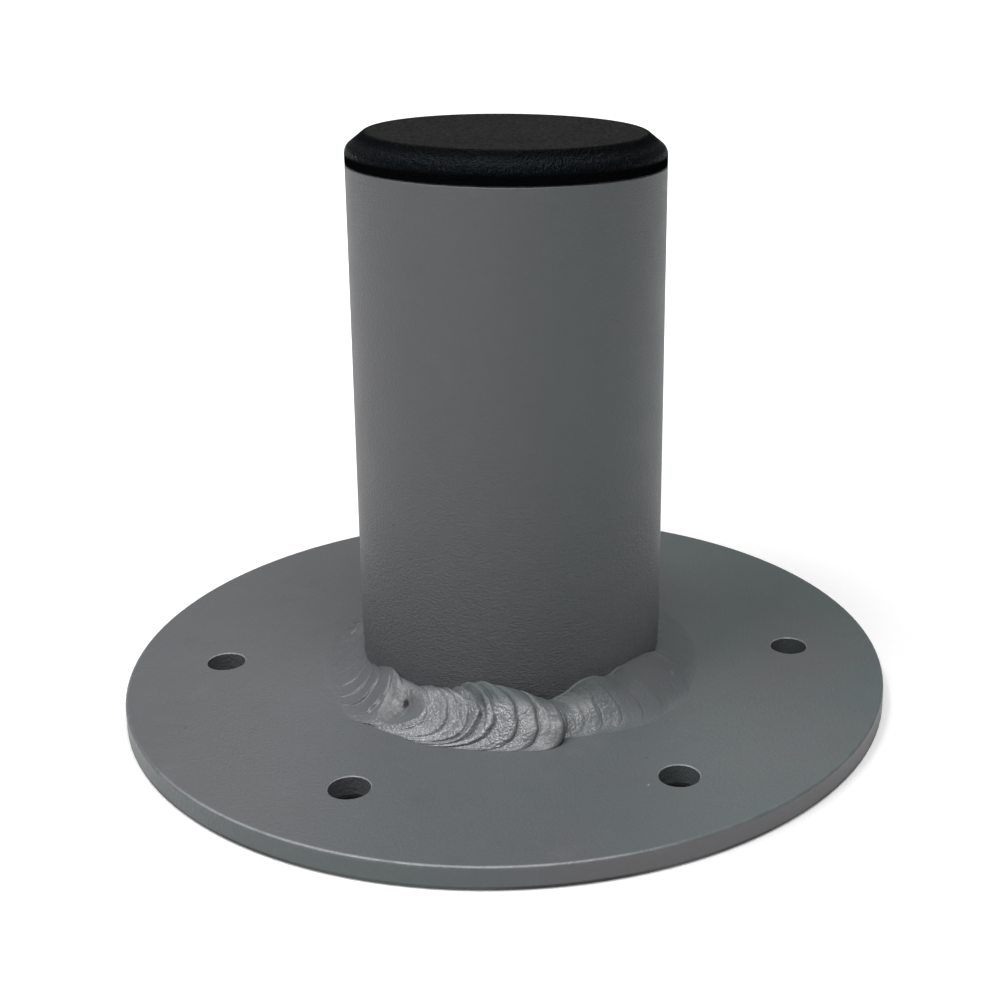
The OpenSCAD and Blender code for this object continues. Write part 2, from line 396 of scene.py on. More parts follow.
def addWeldSkin(bench, place, colour, rough, height, bump, shader, tones):
    shade, cool = tones[:2]
    # glossier where the attribute says that the metal's skin is rough, and paler there as painted
    # highlight, lighter still as painted light where the attribute passes 1
    grit = bench.node("ShaderNodeAttribute", {"attribute_name": "grit"}, out=2)
    crackle = bench.node("ShaderNodeTexVoronoi", {"feature": "DISTANCE_TO_EDGE"}, {
        "Vector": place, "Scale": weldFinish["crackleScale"]}).ease(0.0, 0.3)
    grain = bench.noise(place, weldFinish["grainScale"], 2.0, 0.6)
    fine = bench.noise(place, weldFinish["fineScale"], 1.0, 0.5)
    skin = grain*weldFinish["grainHeight"] + crackle*weldFinish["crackleHeight"]
    skin = height + grit*skin
    skin = skin + grit*fine*weldFinish["fineHeight"]
    skinBump = bench.node("ShaderNodeBump", {}, {
        "Strength": coat["bumpStrength"], "Distance": coat["bumpDepth"], "Height": skin})
    # painted highlight on the rough skin, and painted light where the attribute passes 1
    pale = bench.blend(weldFinish["paleShare"], colour, tint(shade, weldFinish["paleLight"]))
    bright = bench.blend((grit - 1.0).top(0.0), pale, tint(shade, weldFinish["brightLight"]))
    glossy = bench.node("ShaderNodeBsdfPrincipled", {}, {
        "Base Color": bright, "Roughness": rough - weldFinish["gloss"], "Normal": skinBump,
        "Specular IOR Level": weldFinish["shine"]})
    shader = bench.mixShaders(grit.least(1.0), shader, glossy)
    # and duller along the tops that lie against the tube, where the darker colour is painted shade
    # from the tube
    dusk = bench.node("ShaderNodeAttribute", {"attribute_name": "dusk"}, out=2)
    dull = bench.blend(weldFinish["dullShare"], colour, tint(cool, weldFinish["dullDark"]))
    matt = bench.node("ShaderNodeBsdfPrincipled", {}, {
        "Base Color": dull, "Roughness": weldFinish["dullRoughness"], "Normal": bump,
        "Specular IOR Level": weldFinish["dullShine"]})
    return bench.mixShaders(dusk, shader, matt)


def makeCoat(part):
    made, bench = newMaterial(part["name"])
    place = bench.node("ShaderNodeTexCoord", out=3)
    x, y, z = bench.split(place)
    tones = [[part["tone"]*c for c in coat[key]] for key in ("grey", "green", "plum")]
    shade, cool, warm = tones
    # slow drift of tint and tone, as a sprayed coat shows
    rate, start = part["drift"]
    drift = (x*rate + start).least(1.0).top(0.0)
    patches = bench.noise(place, coat["patchScale"], 3.0, 0.55)
    mottle = bench.noise(place, coat["mottleScale"], 4.0, 0.6)
    colour = bench.blend(drift*coat["driftShare"], tint(shade), tint(cool))
    warmer = patches.ease(*coat["plumBand"])*coat["plumShare"]
    colour = bench.blend(warmer, colour, tint(warm))
    for band, level in (("lightBand", "mottleLight"), ("darkBand", "mottleDark")):
        share = mottle.ease(*coat[band])*coat["mottleShare"]
        colour = bench.blend(share, colour, tint(shade, coat[level]))
    colour = addMarks(bench, place, colour)
    rough = coat["roughness"] + (mottle - 0.5)*coat["mottleRough"]
    rough = rough + (patches - 0.5)*coat["patchRough"]
    low = z.ease(coat["lowFrom"], coat["lowTo"])
    if part is plateFinish:
        colour, rough = addPlateEdge(bench, place, (x, y, z), colour, rough, tones)
    if part is tubeFinish:
        # painted light: the foot of the tube is a little lighter on the right, where light from
        # the plate falls
        foot = low*x.ease(*part["footBand"])*part["footShare"]
        colour = bench.blend(foot, colour, tint(shade, part["footLight"]))
    # orange peel: flat cells, stronger near the foot of the tube
    flatter = bench.node("ShaderNodeMapping", {}, {
        "Vector": place, "Scale": (1.0, 1.0, part["peelStretch"])})
    peel = bench.noise(flatter, coat["peelScale"], 2.0, 0.55)
    peel = peel*(low*coat["lowPeel"] + 1.0)*part["peel"]
    peel = peel*(1.0 - x.ease(*part["smoothBand"])*part["smoothRight"])
    height = peel + bench.noise(place, coat["broadScale"], 1.0, 0.5)*coat["broadHeight"]
    bump = bench.node("ShaderNodeBump", {}, {
        "Strength": coat["bumpStrength"], "Distance": coat["bumpDepth"], "Height": height})
    if part is not weldFinish:
        colour = addSpecks(bench, place, colour)
    shader = bench.node("ShaderNodeBsdfPrincipled", {}, {
        "Base Color": colour, "Roughness": rough, "Normal": bump,
        "Specular IOR Level": coat["shine"]})
    if part is weldFinish:
        shader = addWeldSkin(bench, place, colour, rough, height, bump, shader, tones)
    bench.node("ShaderNodeOutputMaterial", {}, {"Surface": shader})
    return made


plateCoat = makeCoat(plateFinish)
tubeCoat = makeCoat(tubeFinish)
weldCoat = makeCoat(weldFinish)


# moulded plastic of the end cap

capFinish = {
    "name": "capPlastic",
    "top": (0.0016, 0.0018, 0.0016),
    "side": (0.0008, 0.0014, 0.0022),
    "rim": (0.0024, 0.0026, 0.003),
    "sideGleam": (0.64, 0.86, 1.0),
    "flatRadius": 26.3,
    "topHeight": 112.2,
    "rimHeight": 108.2,      # the upright rim ends here
    "flatEdge": 0.5,         # half the width over which the flat top blends into the slope
    # how far below the top the slope turns dull, and how dull it gets
    "dullFrom": 1.9,
    "dullTo": 0.7,
    "dullShare": 0.7,
    "topRoughness": 0.62,
    "topVary": 0.14,
    "topShine": 0.08,
    "sideRoughness": 0.32,
    "sideVary": 0.12,
    "sideShine": 0.075,
    "rimRoughness": 0.7,
    "rimShine": 0.0,
    "patchScale": 60.0,
    "grainScale": 1150.0,
    "grainLight": 11.0,      # the pale grains against the dark ground
    "pitScale": 900.0,
    "pitHeight": 3.5,
    "fineHeight": 5.0,
    "bumpStrength": 0.9,
    "bumpDepth": 0.0001,
}


def makeCapPlastic():
    made, bench = newMaterial(capFinish["name"])
    place = bench.node("ShaderNodeTexCoord", out=3)
    x, y, z = bench.split(place)
    topHeight, rimHeight = capFinish["topHeight"], capFinish["rimHeight"]
    radius = (x*x + y*y)**0.5
    flat = radius.ease((capFinish["flatRadius"] + capFinish["flatEdge"])*mm,
                       (capFinish["flatRadius"] - capFinish["flatEdge"])*mm)
    flat = flat*(z > (topHeight - 0.6)*mm)
    patches = bench.noise(place, capFinish["patchScale"], 3.0, 0.6)
    grain = bench.noise(place, capFinish["grainScale"], 1.0, 0.5)
    fine = bench.noise(place, capFinish["grainScale"]*2.1, 1.0, 0.5)
    coarse = bench.noise(place, capFinish["grainScale"]*0.5, 2.0, 0.7)
    pits = bench.noise(place, capFinish["pitScale"], 2.0, 0.5)
    bump = bench.node("ShaderNodeBump", {}, {
        "Strength": capFinish["bumpStrength"], "Distance": capFinish["bumpDepth"],
        "Height": fine*capFinish["fineHeight"] + pits*capFinish["pitHeight"]})
    # fine sandy grain on the flat top
    sand = (grain*0.5 + fine*0.2 + coarse*0.3).ease(0.4, 0.66)
    topColour = bench.blend(sand, tint(capFinish["top"]),
                            tint(capFinish["top"], capFinish["grainLight"]))
    topFace = bench.node("ShaderNodeBsdfPrincipled", {}, {
        "Base Color": topColour, "Normal": bump, "Specular IOR Level": capFinish["topShine"],
        "Roughness": capFinish["topRoughness"] + (patches - 0.5)*capFinish["topVary"]})
    slope = bench.node("ShaderNodeBsdfPrincipled", {}, {
        "Base Color": tint(capFinish["side"]), "Normal": bump,
        "Specular IOR Level": capFinish["sideShine"],
        "Specular Tint": tint(capFinish["sideGleam"]),
        "Roughness": capFinish["sideRoughness"] + (patches - 0.5)*capFinish["sideVary"]})
    # the upright rim and the top of the slope are duller than the slope between them
    dull = bench.node("ShaderNodeBsdfPrincipled", {}, {
        "Base Color": tint(capFinish["rim"]), "Normal": bump,
        "Specular IOR Level": capFinish["rimShine"], "Roughness": capFinish["rimRoughness"]})
    low = z.ease((rimHeight + 0.9)*mm, (rimHeight - 0.3)*mm)
    high = z.ease((topHeight - capFinish["dullFrom"])*mm, (topHeight - capFinish["dullTo"])*mm)
    side = bench.mixShaders(low.top(high*capFinish["dullShare"]), slope, dull)
    both = bench.mixShaders(flat, side, topFace)
    bench.node("ShaderNodeOutputMaterial", {}, {"Surface": both})
    return made


capPlastic = makeCapPlastic()
finishes = {"base_plate": plateCoat, "post_tube": tubeCoat, "end_cap": capPlastic}
for nodeName, finish in finishes.items():
    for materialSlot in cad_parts[nodeName].material_slots:
        materialSlot.material = finish
print("materials made")


# weld bead: pools of metal laid clockwise round the foot

# angles run anticlockwise from +x, so 270 degrees is the front; travel runs clockwise from the
# start angle, in degrees
weldBead = {
    "startAngle": 285.0,
    "tubeRadius": 30.15,
    "rootRadius": 29.74,
    "plateTop": 4.5,
    "trueHeight": 9.6,   # the tube's drawn-in foot ends this far above the plate
    "crown": 0.85,
    "columns": 1600,
    "rows": 46,
    "seed": 7,
    "bowSpan": 0.98,     # share of a half circle that each crescent takes
    "bowScale": 1.0,
    # travel, how far the toes of a ripple run ahead of its middle, in degrees
    "bow": [(0, 7.0), (8, 8.6), (16, 10.6), (45, 11.0), (60, 9.5), (100, 9.0), (300, 9.0),
            (345, 8.0), (360, 7.0)],
    # travel, how much further the lower ends of the ripples sweep, as a share of the bow
    "sweep": [(0, 0.0), (8, 0.0), (15, 0.25), (24, 0.9), (40, 0.9), (50, 0.5), (62, 0.15),
              (80, 0.0), (360, 0.0)],
    # travel, height of the upper toe over the plate
    "rise": [(0, 4.9), (2, 4.6), (6, 5.3), (9.5, 5.8), (13, 7.2), (18, 7.9), (23, 8.5),
             (27, 8.8), (31, 8.5), (35, 7.6), (38.5, 6.6), (46, 6.3), (51, 5.7), (57, 5.8),
             (62, 6.1), (66, 7.1), (70, 6.5), (81, 4.5), (91, 3.8), (120, 5.2), (180, 6.0),
             (250, 5.4), (298, 3.7), (310, 5.6), (319, 7.1), (332, 7.6), (339, 6.8),
             (346, 7.8), (351, 7.3), (356, 5.8), (360, 4.9)],
    # travel, reach of the outer toe from the tube
    "reach": [(0, 6.8), (4.4, 7.2), (5.6, 9.9), (14, 9.7), (25, 9.5), (35, 9.4), (41, 9.7),
              (48, 9.2), (55, 9.0), (61, 8.9), (67, 9.8), (76, 9.0), (90, 8.4), (120, 8.6),
              (160, 8.2), (200, 8.8), (240, 8.3), (280, 8.0), (300, 8.2), (313, 8.9),
              (322, 9.8), (339, 9.7), (345, 8.9), (351, 7.8), (357, 7.0), (360, 6.8)],
    # travel, how sharp the ripples are
    "sharp": [(0, 1.0), (40, 1.0), (46, 0.6), (60, 0.3), (70, 0.25), (110, 0.3), (150, 0.35),
              (270, 0.3), (300, 0.12), (335, 0.15), (352, 0.3), (360, 1.0)],
    # travel, how round the face is: 1 is a full crown, 0 is flat
    "full": [(0, 1.0), (42, 1.0), (50, 0.6), (60, 0.25), (75, 0.0), (120, 0.1), (180, 0.3),
             (260, 0.2), (300, 0.05), (335, 0.25), (350, 0.6), (360, 1.0)],
    # travel, how softly the outer toe runs out on to the plate
    "runOut": [(0, 0.35), (10, 0.45), (36, 0.45), (46, 0.7), (62, 0.9), (70, 1.0), (150, 0.8),
               (260, 0.8), (300, 1.0), (335, 0.9), (350, 0.6), (356, 0.5), (360, 0.3)],
    # travel, how rough the metal's skin is and how pale, the paleness being painted highlight and
    # above 1 painted light
    "grit": [(0, 0.22), (6, 0.35), (11, 0.55), (15, 0.95), (19, 1.1), (21, 1.4), (28, 1.45),
             (31, 1.1), (40, 1.1), (50, 0.7), (60, 0.3), (68, 0.12), (110, 0.15), (180, 0.35),
             (300, 0.1), (322, 0.14), (330, 0.1), (334, 0.25), (337.5, 0.06), (341, 0.34),
             (344.5, 0.08), (348.5, 0.42), (352, 0.2), (355.5, 0.65), (360, 0.28)],
    # travel, how dull the tops of the pools are, and how much painted shade from the tube they
    # take
    "dusk": [(0, 0.2), (6, 0.7), (22, 0.9), (27, 0.5), (31, 0.0), (318, 0.0), (332, 0.7),
             (357, 0.8), (360, 0.3)],
    # rims seen in front, by travel, with the height of each and how thin its crest is
    "rims": [(0.0, 1.05, 0.0), (7.8, 0.65, 0.0), (14.0, 0.95, 0.0), (20.8, 0.75, 0.1),
             (25.6, 0.95, 0.0), (29.2, 0.9, 0.1), (32.6, 0.12, 0.3), (35.6, 0.75, 0.1),
             (42.6, 0.5, 0.0), (61.0, 0.5, 0.9), (69.0, 0.5, 1.0), (75.2, 0.3, 1.0),
             (82.5, 0.14, 1.0), (91.0, 0.05, 1.0)],
    # rims on the side and round the back, at an uneven pitch
    "hiddenPitch": 6.6,
    "pitchVary": (0.75, 1.25),
    "faintUntil": 115.0,
    "faintLift": 0.04,
    "backLift": (0.25, 0.45),
    "backCrest": (0.2, 0.8),
    "backUntil": 300.0,
    # rims of the last run, each with its distance to the next and its height
    "lastRun": 303.0,
    "lastRims": [(6.5, 0.03), (7.0, 0.04), (9.0, 0.05), (8.0, 0.08), (7.5, 0.12), (6.0, 0.18),
                 (6.5, 0.24)],
    # from a rim to the next: how a pool's skin stands up and falls away, round and thin-crested
    "pillow": [(0, 0), (0.09, 0.86), (0.14, 1.0), (0.3, 0.86), (0.6, 0.5), (0.85, 0.16), (1, 0)],
    "thinCrest": [(0, 0), (0.05, 0.7), (0.1, 1.0), (0.17, 0.8), (0.3, 0.25), (0.5, 0.05), (1, 0)],
    "wearLeast": 0.35,   # a ripple's height varies along it, from this share
    "wear": 1.3,
    # how fast unevenness changes along and across the bead
    "strayRate": (0.2, 1.3),
    "wearRate": (3.7, 1.6),
    "patchRate": (0.16, 1.4),
    "groove": 0.2,       # depth of the line between two pools
    "grooveAhead": 0.3,  # its width in degrees on the two sides
    "grooveBehind": 0.6,
    "stray": 2.0,        # how far a rim wanders from its even crescent, in degrees
    "toeScallop": 0.25,  # how far the outer and the upper toe follow each pool
    "topScallop": 0.5,
    "toeWobble": 0.7,    # and how far they waver
    "topWobble": 0.5,
    "wobbleScale": 7.0,
    "softReach": 0.3,    # how much further a soft toe reaches
    "plump": 0.7,        # how a ripple fades at the toes: lower keeps it full for longer
    "plumpSoft": 1.1,
    "flare": 0.005,      # how the face curves out at its foot, and how much more where it is soft
    "flareSoft": 0.42,
    "sink": 0.03,        # how far the outer toe and the back of the bead lie in the plate
    # a hollow left between two pools
    "hollowTravel": 24.6,
    "hollowWidth": 1.4,
    "hollowFloor": 0.3,
    "hollowFoot": (-0.8, -0.35),
    "hollowHead": (0.85, 0.4),
    "hollowDepth": 1.3,
    # the crater where the last pool froze
    "craterTravel": 52.2,
    "craterAcross": 0.3,
    "craterRadius": 4.9,
    "craterDepth": 0.9,
    "craterLip": 0.12,
    "lipIn": (0.85, 1.0),
    "lipOut": (1.2, 1.0),
    "craterArm": 34.4,   # its distance from the tube's middle
    "craterSpan": 5.4,   # half the width of the face there
    "pitRadius": 0.75,
    "pitFloor": 0.1,
    "pitDepth": 0.9,
    # more rough, pale skin on the foot of the front run, between these travels and up this share
    # of the face: painted light on its steep toe faces
    "brightStart": (22.0, 25.0),
    "brightEnd": (46.0, 40.0),
    "brightFoot": (0.4, 0.15),
    "brightMore": 0.5,
    # less of that rough, pale skin in the crater, between patches, and on the tops of the last and
    # the front run
    "craterCalm": 0.6,
    "patchLeast": 0.6,
    "topCalm": 0.85,
    "lastTopStart": (325.0, 345.0),
    "lastTopEnd": 358.0,
    "frontTopStart": (4.0, 9.0),
    "frontTopEnd": (26.0, 22.0),
    # grain pushed into the skin
    "grainScale": 620.0,
    "grainHeight": 0.075,
    "leastGrain": 0.25,
}


def layRims():
    # the seen rims, then rims at an uneven pitch round the back and up the side run
    draw = random.Random(weldBead["seed"])
    rims = list(weldBead["rims"])
    travel = rims[-1][0] + weldBead["hiddenPitch"]
    while travel < weldBead["backUntil"]:
        if travel < weldBead["faintUntil"]:
            lift, crest = weldBead["faintLift"], 1.0
        else:
            lift = draw.uniform(*weldBead["backLift"])
            crest = draw.uniform(*weldBead["backCrest"])
        rims.append((travel, lift, crest))
        travel += weldBead["hiddenPitch"]*draw.uniform(*weldBead["pitchVary"])
    travel = weldBead["lastRun"]
    for step, lift in weldBead["lastRims"]:
        rims.append((travel, lift, 0.0))
        travel += step
    rims.append((360.0,) + rims[0][1:])
    rimMesh = bpy.data.meshes.new("rims")
    rimMesh.from_pydata([(rim[0], 0.0, 0.0) for rim in rims], [], [])
    for column, label in ((1, "lift"), (2, "crest")):
        layer = rimMesh.attributes.new(label, "FLOAT", "POINT")
        layer.data.foreach_set("value", [rim[column] for rim in rims])
    return bpy.data.objects.new("weldRims", rimMesh)


def weldTree(finish):
    tree = bpy.data.node_groups.new("weldBead", "GeometryNodeTree")
    bench = Bench(tree)
    face = tree.interface
    face.new_socket("Geometry", in_out="INPUT", socket_type="NodeSocketGeometry")
    wanted = {}
    for label, kind, value in (
            ("Columns", "NodeSocketInt", weldBead["columns"]),
            ("Rows", "NodeSocketInt", weldBead["rows"]),
            ("Tube radius", "NodeSocketFloat", weldBead["tubeRadius"]*mm),
            ("Root radius", "NodeSocketFloat", weldBead["rootRadius"]*mm),
            ("Plate top", "NodeSocketFloat", weldBead["plateTop"]*mm),
            ("Crown", "NodeSocketFloat", weldBead["crown"]),
            ("Bow", "NodeSocketFloat", weldBead["bowScale"]),
            ("Groove", "NodeSocketFloat", weldBead["groove"]),
            ("Stray", "NodeSocketFloat", weldBead["stray"]),
            ("Crater depth", "NodeSocketFloat", weldBead["craterDepth"]),
            ("Grain height", "NodeSocketFloat", weldBead["grainHeight"]),
            ("Seed", "NodeSocketFloat", float(weldBead["seed"])),
            ("Finish", "NodeSocketMaterial", finish)):
        wanted[face.new_socket(label, in_out="INPUT", socket_type=kind).identifier] = value
    face.new_socket("Geometry", in_out="OUTPUT", socket_type="NodeSocketGeometry")
    given = tree.nodes.new("NodeGroupInput")
    size = {socket.name: Wire(bench, socket) for socket in given.outputs if socket.name}
    rims = size["Geometry"]

    def along(key, travel, scale):
        # a value that changes along the bead; the curve node holds shares of the scale
        return bench.curve(travel/360.0, [(t/360.0, v/scale) for t, v in weldBead[key]])*scale

    def sampleRim(kind, source, index):
        return bench.node("GeometryNodeSampleIndex",
                          {"data_type": kind, "domain": "POINT", "clamp": True},
                          {"Geometry": rims, "Value": source, "Index": index})

    def rimValue(label, index):
        source = bench.node("GeometryNodeInputNamedAttribute", {"data_type": "FLOAT"},
                            {"Name": label})
        return sampleRim("FLOAT", source, index)

    def rimTravel(index):
        position = bench.node("GeometryNodeInputPosition")
        return bench.split(sampleRim("FLOAT_VECTOR", position, index))[0]

    def uneven(key, first, shift, detail, roughness):
        # noise along and across the bead, shifted so that no two are alike
        alongRate, acrossRate = weldBead[key]
        spot = bench.join(first*alongRate, across*acrossRate, size["Seed"] + shift)
        return bench.noise(spot, 1.0, detail, roughness)

    def store(geometry, label, value):
        return bench.node("GeometryNodeStoreNamedAttribute",
                          {"data_type": "FLOAT", "domain": "POINT"},
                          {"Geometry": geometry, "Name": label, "Value": value})

    # a flat sheet, bent into the bead below: columns run along it, rows across it
    grid = bench.node("GeometryNodeMeshGrid", {}, {
        "Size X": 1.0, "Size Y": 1.0,
        "Vertices X": size["Columns"] + 1.0, "Vertices Y": size["Rows"] + 1.0})
    gridX, gridY = bench.split(bench.node("GeometryNodeInputPosition"))[:2]
    travel = (gridX + 0.5)*360.0
    row = (gridY + 0.5)*size["Rows"]
    faceRows = size["Rows"] - 2.0           # the last two rows close the bead behind its face
    closed = row > faceRows + 1.5           # the last row lies on the first
    closing = (row > faceRows + 0.5) - closed
    across = ((row/faceRows).least(1.0))*2.0 - 1.0 - closed*2.0
    k = (across + 1.0)*0.5                  # 0 at the toe on the plate, 1 at the toe on the tube

    # the pool of metal that each column lies in, and how far along it
    wander = uneven("strayRate", travel, 0.0, 3.0, 0.6) - 0.5
    ends = travel.ease(0.0, 3.0)*(360.0 - travel).ease(0.0, 3.0)
    strayed = travel + wander*ends*size["Stray"]*2.0
    nearest = bench.node("GeometryNodeSampleNearest", {"domain": "POINT"}, {
        "Geometry": rims, "Sample Position": bench.join(strayed, 0.0, 0.0)})
    pool = nearest - (strayed < rimTravel(nearest) - 0.0001)
    start = rimTravel(pool)
    step = (rimTravel(pool + 1.0) - start).top(0.01)
    t = ((strayed - start)/step).least(1.0).top(0.0)
    inPool = t*step                         # degrees past the rim

    # ripples with round or thin crests, and the line between two pools
    pillow = bench.curve(t, weldBead["pillow"])
    thin = bench.curve(t, weldBead["thinCrest"])
    worn = uneven("wearRate", pool, 5.0, 2.0, 0.5)
    ripple = rimValue("lift", pool)*(pillow + (thin - pillow)*rimValue("crest", pool))
    ripple = ripple*(weldBead["wearLeast"] + worn*weldBead["wear"])
    trench = inPool.ease(weldBead["grooveAhead"], 0.0)
    trench = trench.top((step - inPool).ease(weldBead["grooveBehind"], 0.0))
    trench = trench*size["Groove"]*along("sharp", travel, 1.0)

    # a hollow left between two pools
    hollow = abs(strayed - weldBead["hollowTravel"])
    hollow = hollow.ease(weldBead["hollowWidth"], weldBead["hollowFloor"])
    hollow = hollow*across.ease(*weldBead["hollowFoot"])*across.ease(*weldBead["hollowHead"])
    hollow = hollow*weldBead["hollowDepth"]

    # the crater where the last pool froze: a dish with a raised lip, and a pit in it
    arc = (travel - weldBead["craterTravel"])*degree*weldBead["craterArm"]
    span = (across - weldBead["craterAcross"])*weldBead["craterSpan"]
    off = ((arc*arc + span*span)**0.5)/weldBead["craterRadius"]
    lip = (off.ease(*weldBead["lipIn"])*off.ease(*weldBead["lipOut"]))*weldBead["craterLip"]
    dish = -((1.0 - off*off).top(0.0))*size["Crater depth"] + lip
    pit = (off*weldBead["craterRadius"]).ease(weldBead["pitRadius"], weldBead["pitFloor"])
    pit = pit*(-weldBead["pitDepth"])

    # where the two toes stand at each column: the bow carries them ahead
    wobble = bench.noise(bench.join((travel*degree).cosine(), (travel*degree).sine(), 0.0),
                         weldBead["wobbleScale"], 3.0, 0.6, seed=size["Seed"]) - 0.5
    scallop = (t*(1.0 - t)*4.0 - 0.35)*rimValue("lift", pool)
    bow = along("bow", travel, 12.0)*size["Bow"]
    lowBow = bow*(along("sweep", travel, 1.0) + 1.0)
    toeBow = 1.0 - (1.0 - weldBead["bowSpan"]**2)**0.5
    toe = (travel + bow*toeBow) % 360.0
    lowToe = (travel + lowBow*toeBow) % 360.0
    soft = along("runOut", lowToe, 1.0)
    reach = along("reach", lowToe, 12.0) + scallop*weldBead["toeScallop"]
    reach = reach + wobble*weldBead["toeWobble"] + soft*weldBead["softReach"]
    rise = along("rise", toe, 10.0) + scallop*weldBead["topScallop"]
    rise = rise + wobble*weldBead["topWobble"]

    # how far the face stands off the straight line between the toes
    hump = 1.0 - across*across
    full = hump.top(0.0)**(weldBead["plump"] + soft*weldBead["plumpSoft"])
    lift = hump*size["Crown"]*along("full", travel, 1.0) + full*ripple - full*trench
    lift = lift + (dish + pit - hollow)*full

    # the bead's section, then its closed back
    slope = (reach*reach + rise*rise)**0.5
    bend = soft*weldBead["flareSoft"] + weldBead["flare"]
    climb = ((k*k + bend*bend)**0.5 - bend)/((1.0 + bend*bend)**0.5 - bend)
    drawnIn = (rise/weldBead["trueHeight"]).least(1.0)
    toeRadius = size["Root radius"] + (size["Tube radius"] - size["Root radius"])*drawnIn
    outer = size["Tube radius"] + reach*mm
    radius = outer + (toeRadius - outer)*k + lift*(rise/slope)*mm
    height = size["Plate top"] + rise*climb*mm + lift*(reach/slope)*mm
    height = height - (1.0 - k)**8.0*weldBead["sink"]*mm
    radius = radius + closing*(size["Root radius"] - radius)
    height = height + closing*(size["Plate top"] - weldBead["sink"]*mm - height)

    # each crescent bows along the bead
    flank = across*weldBead["bowSpan"]
    bowed = (bow + (lowBow - bow)*(across < 0.0))*(1.0 - (1.0 - flank*flank)**0.5)
    bowed = bowed*(1.0 - closing) + closing*bow*toeBow
    angle = (weldBead["startAngle"] - travel - bowed)*degree
    placed = bench.join(radius*angle.cosine(), radius*angle.sine(), height)

    # where the skin is rough and pale, the paleness being painted highlight and above 1 painted
    # light; less in the crater and on the dull tops
    patch = uneven("patchRate", travel, 11.0, 1.0, 0.5)
    grit = along("grit", travel, 2.0)
    # painted light on the steep toe faces of the front run
    brighter = travel.ease(*weldBead["brightStart"])*travel.ease(*weldBead["brightEnd"])
    grit = grit + brighter*k.ease(*weldBead["brightFoot"])*weldBead["brightMore"]
    grit = grit*k.ease(0.0, 0.05)*k.ease(1.0, 0.9)
    patchLeast = weldBead["patchLeast"]
    grit = grit*(1.0 - off.ease(1.1, 0.9)*weldBead["craterCalm"])
    grit = grit*(patchLeast + patch.ease(0.35, 0.6)*(1.0 - patchLeast))
    lastTop = across.ease(-0.1, 0.5)*travel.ease(*weldBead["lastTopStart"])
    lastTop = lastTop*(travel < weldBead["lastTopEnd"])
    frontTop = across.ease(0.45, 0.75)*travel.ease(*weldBead["frontTopStart"])
    frontTop = frontTop*travel.ease(*weldBead["frontTopEnd"])
    grit = grit*(1.0 - lastTop.top(frontTop)*weldBead["topCalm"])
    # painted shade from the tube along the tops of the pools, which are also duller there
    dusk = along("dusk", travel, 1.0)*k.ease(0.6, 0.85)*k.ease(1.0, 0.97)
    marked = store(store(grid, "grit", grit), "dusk", dusk)
    shaped = bench.node("GeometryNodeSetPosition", {}, {"Geometry": marked, "Position": placed})
    merged = bench.node("GeometryNodeMergeByDistance", {}, {
        "Geometry": shaped, "Distance": 0.002*mm})

    # fine grain pushed along the face
    grain = bench.noise(bench.node("GeometryNodeInputPosition"), weldBead["grainScale"],
                        3.0, 0.65, seed=size["Seed"]) - 0.5
    amount = bench.node("GeometryNodeInputNamedAttribute", {"data_type": "FLOAT"},
                        {"Name": "grit"})
    push = grain*(amount + weldBead["leastGrain"])*size["Grain height"]*2.0*mm
    moved = bench.node("ShaderNodeVectorMath", {"operation": "SCALE"}, {
        0: bench.node("GeometryNodeInputNormal"), "Scale": push})
    grained = bench.node("GeometryNodeSetPosition", {}, {"Geometry": merged, "Offset": moved})
    smooth = bench.node("GeometryNodeSetShadeSmooth", {}, {"Geometry": grained})
    real = bench.node("GeometryNodeRealizeInstances", {}, {"Geometry": smooth})
    dressed = bench.node("GeometryNodeSetMaterial", {}, {
        "Geometry": real, "Material": size["Finish"]})
    ending = tree.nodes.new("NodeGroupOutput")
    tree.links.new(dressed.socket, ending.inputs[0])
    return tree, wanted


def makeWeld():
    host = layRims()
    bpy.context.scene.collection.objects.link(host)
    tree, wanted = weldTree(weldCoat)
    layer = host.modifiers.new("weldBead", "NODES")
    layer.node_group = tree
    for identifier, value in wanted.items():
        layer[identifier] = value
    graph = bpy.context.evaluated_depsgraph_get()
    beadMesh = bpy.data.meshes.new_from_object(host.evaluated_get(graph), depsgraph=graph)
    host.modifiers.remove(layer)
    bpy.data.objects.remove(host)
    work = bmesh.new()
    work.from_mesh(beadMesh)
    bmesh.ops.remove_doubles(work, verts=work.verts, dist=0.001*mm)
    bmesh.ops.recalc_face_normals(work, faces=work.faces)
    openEdges = sum(1 for edge in work.edges if not edge.is_manifold)
    work.to_mesh(beadMesh)
    work.free()
    beadMesh.name = "weldBead"
    bead = bpy.data.objects.new("weldBead", beadMesh)
    bpy.context.scene.collection.objects.link(bead)
    print("weld bead:", len(beadMesh.polygons), "faces,", openEdges, "open edges")
    return bead


weld = makeWeld()
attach(weld, "root")
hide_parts("weld_bead")


# floor, light and camera

studio = {
    "world": 0.1,
    "worldColour": (1.0, 1.0, 1.0),
    "floorHalf": 6.0,    # metres
    "floorColour": 0.82,
    "floorGlow": 0.3,    # added where the camera looks, so the backdrop stays white
    "mirrorShare": 0.4,  # share of that glow that glossy faces see
    "whiteFrom": 0.1,    # the floor turns plain white between these distances
    "whiteTo": 0.45,
    # painted shadow: the floor turns dark under the plate
    "underFrom": 0.074,  # and dark under the plate, between these
    "underTo": 0.066,
    "underTone": 0.025,
    "aim": (0.0, 0.0, 0.06),
}

